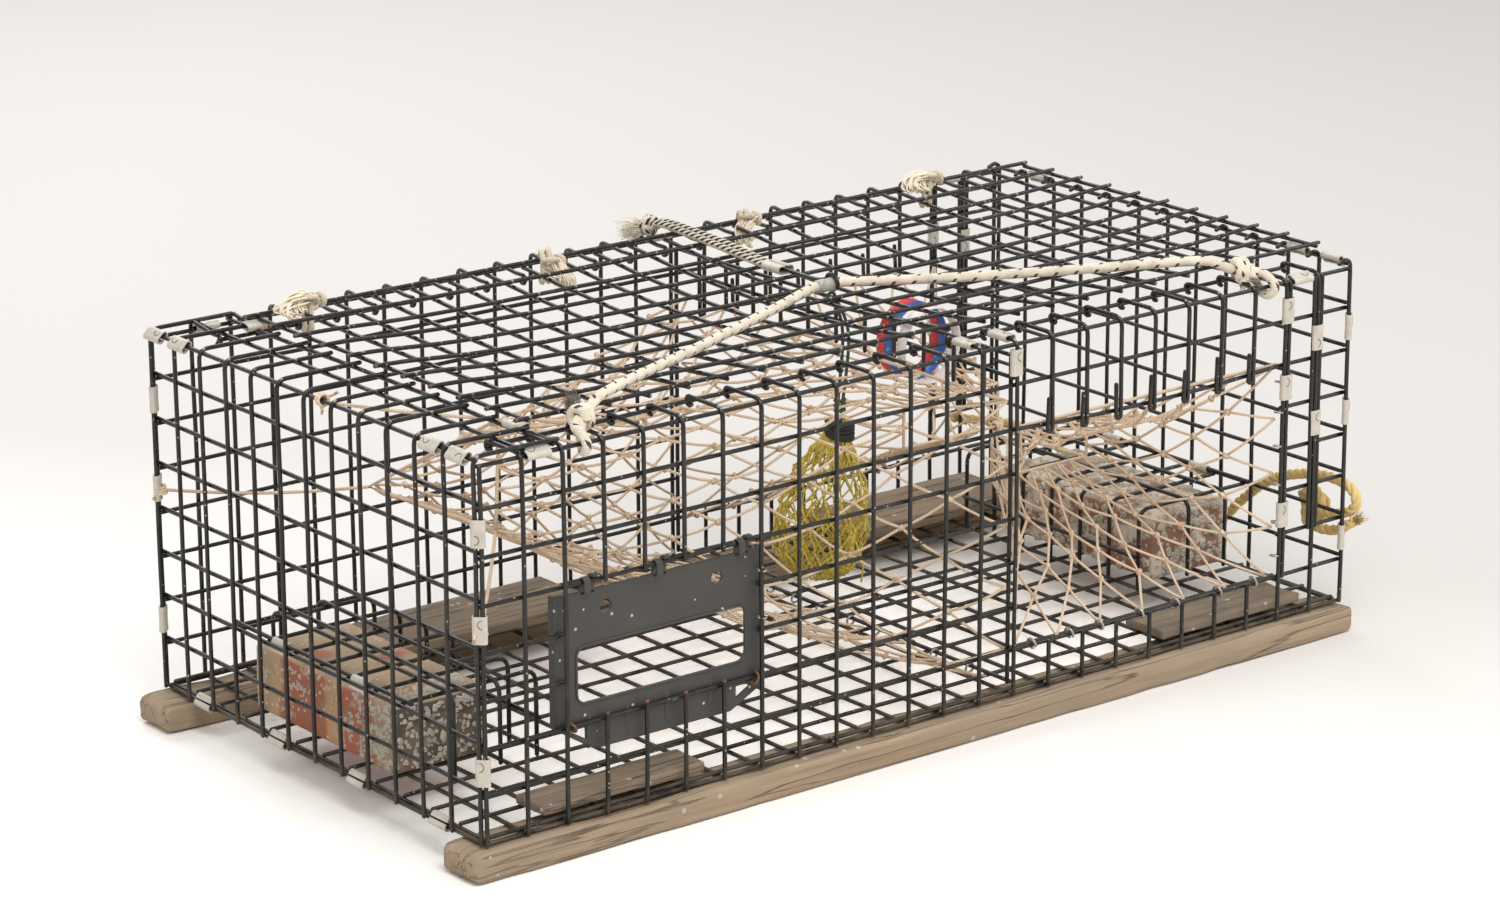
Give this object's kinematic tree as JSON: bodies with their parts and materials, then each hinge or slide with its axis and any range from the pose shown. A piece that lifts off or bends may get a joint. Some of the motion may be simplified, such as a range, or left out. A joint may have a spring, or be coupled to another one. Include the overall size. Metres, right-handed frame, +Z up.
{
  "type": "lobster trap",
  "caption": "Parlour lobster trap: a black wire mesh box on wooden runners with twine heads, roped lid, escape vent, ballast and bait bag.",
  "frame": {"origin": "middle of the footprint, on the underside of the runners", "axes": "+X along the trap towards the kitchen end, +Y towards the rear wall where the lid is hinged, +Z up"},
  "size_m": [0.9758, 0.4888, 0.355],
  "materials": {
    "coated_wire": "gloss vinyl coating, worn",
    "wood": "weathered, open grain",
    "brick": "fired clay with barnacle crust",
    "vent_plastic": "moulded, speckled",
    "rusty_steel": "rusted",
    "twine": "laid and knotted",
    "bait_mesh": "knotted net",
    "green_cord": "braided",
    "bungee": "braided sheath with ticks",
    "sleeve": "clear wrap over the cord",
    "braid": "two-colour braid",
    "cotton_rope": "laid, frayed ends",
    "yellow_rope": "three-strand laid",
    "aluminium": "dull, slightly oxidised",
    "tag_band_red": "plain band",
    "tag_band_white": "plain band",
    "tag_band_blue": "plain band"
  },
  "bodies": {
    "frame": {"front_panel_left": "coated_wire", "front_vent_sill": "coated_wire", "front_vent_header": "coated_wire", "front_panel_middle": "coated_wire", "front_entrance_sill": "coated_wire", "front_entrance_header": "coated_wire", "front_panel_right": "coated_wire", "rear_panel_left": "coated_wire", "rear_entrance_sill": "coated_wire", "rear_entrance_header": "coated_wire", "rear_panel_right": "coated_wire", "left_end_panel": "coated_wire", "right_end_panel": "coated_wire", "floor_panel": "coated_wire", "partition_frame": "coated_wire", "front_runner": "wood", "rear_runner": "wood", "front_left_lath": "wood", "front_right_lath": "wood", "rear_left_plank": "wood", "rear_right_plank": "wood", "left_ballast_cage": "coated_wire", "right_ballast_cage": "coated_wire", "left_brick": "brick", "right_brick": "brick", "vent_ring_left": "rusty_steel", "vent_ring_right": "rusty_steel", "front_head_net": "twine", "rear_head_net": "twine", "parlour_head_net": "twine", "rear_stay": "twine", "front_stay": "twine", "top_stay": "twine", "throat_twine": "twine", "bungee_cord": "bungee", "bungee_sleeve": "sleeve", "latch_rope": "braid", "hinge_tie_1": "cotton_rope", "hinge_tie_2": "cotton_rope", "hinge_tie_3": "cotton_rope", "hinge_tie_4": "cotton_rope", "bridle_rope": "yellow_rope", "tag_band_red": "tag_band_red", "tag_band_white": "tag_band_white", "tag_band_blue": "tag_band_blue", "front_left_crimp_1": "aluminium", "front_left_crimp_2": "aluminium", "front_left_crimp_3": "aluminium", "rear_left_crimp_1": "aluminium", "rear_left_crimp_2": "aluminium", "rear_left_crimp_3": "aluminium", "front_right_crimp_1": "aluminium", "front_right_crimp_2": "aluminium", "front_right_crimp_3": "aluminium"},
    "lid": {"door_panel": "coated_wire", "latch_hook": "coated_wire", "latch_ferrule": "aluminium"},
    "vent": {"escape_vent": "vent_plastic"},
    "bag": {"bait_bag": "bait_mesh", "bait_cord": "green_cord"}
  },
  "joints": [
    {"name": "lid_swing", "type": "hinge", "parent": "frame", "child": "lid", "pos_m": [-0.00216, 0.18865, 0.3436], "axis": [-1, 0, 0], "range_deg": [0, 160], "deforming": ["bungee_cord", "bungee_sleeve", "latch_rope"]},
    {"name": "vent_swing", "type": "hinge", "parent": "frame", "child": "vent", "pos_m": [-0.28791, -0.23015, 0.2178], "axis": [1, 0, 0], "range_deg": [0, 45]},
    {"name": "bait_bag_swing", "type": "hinge", "parent": "frame", "child": "bag", "pos_m": [0.07764, 0.00958, 0.3169], "axis": [0, -1, 0], "range_deg": [0, 8]}
  ]
}
